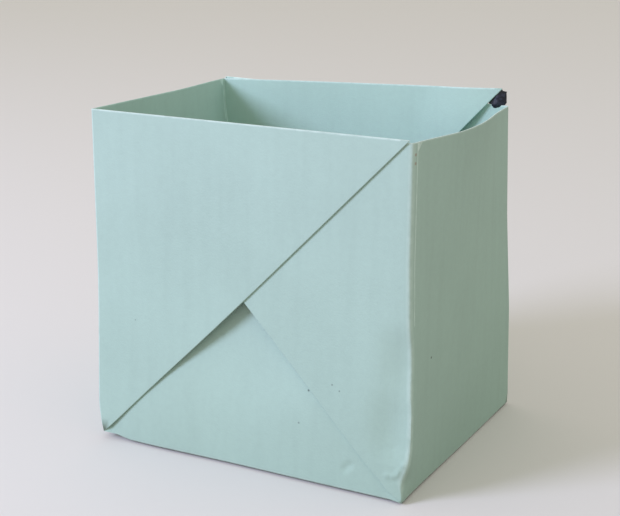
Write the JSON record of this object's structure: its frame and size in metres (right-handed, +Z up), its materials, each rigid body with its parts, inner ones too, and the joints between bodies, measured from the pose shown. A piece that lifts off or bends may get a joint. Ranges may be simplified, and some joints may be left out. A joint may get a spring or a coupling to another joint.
{
  "type": "folded paper box",
  "caption": "Open-topped box folded from a sheet of pale green paper, with triangular pleats crossing on its front and a dark dab on a back corner. Holds small things.",
  "frame": {"origin": "on the surface the box stands on, under the middle of its base", "axes": "+X to the right along the front wall, where the pleats cross; +Y from the front wall to the back wall; +Z up"},
  "size_m": [0.0728, 0.0578, 0.0726],
  "materials": {
    "paper": "matt, pale blue-green, dyed through",
    "dab": "matt, near-black slate"
  },
  "bodies": {
    "root": {"folded_sheet": "paper", "corner_dab": "dab"}
  },
  "joints": []
}
